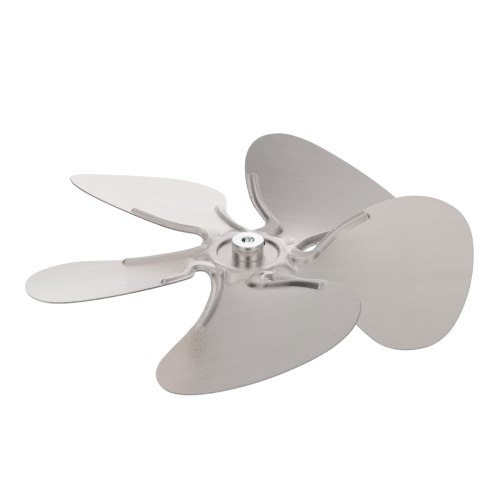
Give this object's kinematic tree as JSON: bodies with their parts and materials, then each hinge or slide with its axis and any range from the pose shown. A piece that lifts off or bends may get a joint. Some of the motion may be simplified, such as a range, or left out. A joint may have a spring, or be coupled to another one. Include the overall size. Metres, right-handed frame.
{
  "type": "fan blade",
  "caption": "Stamped sheet-metal fan wheel with broad pitched blades, U-shaped ribs at the roots, and a turned hub held to its shaft by a set screw.",
  "frame": {"origin": "on the wheel's axis, in the plane of the top face of the flat disc between the blades, which is about the wheel's centroid", "axes": "+Z along the bore's axis, out of the hub's open end; the first blade points towards -Y"},
  "size_m": [0.3025, 0.297, 0.0463],
  "materials": {
    "rolled_aluminium": "satin, fine rolling grain",
    "turned_aluminium": "bright, turned",
    "black_steel": "black oxide"
  },
  "bodies": {
    "root": {"blade_wheel": "rolled_aluminium", "hub": "turned_aluminium", "set_screw": "black_steel"}
  },
  "joints": []
}
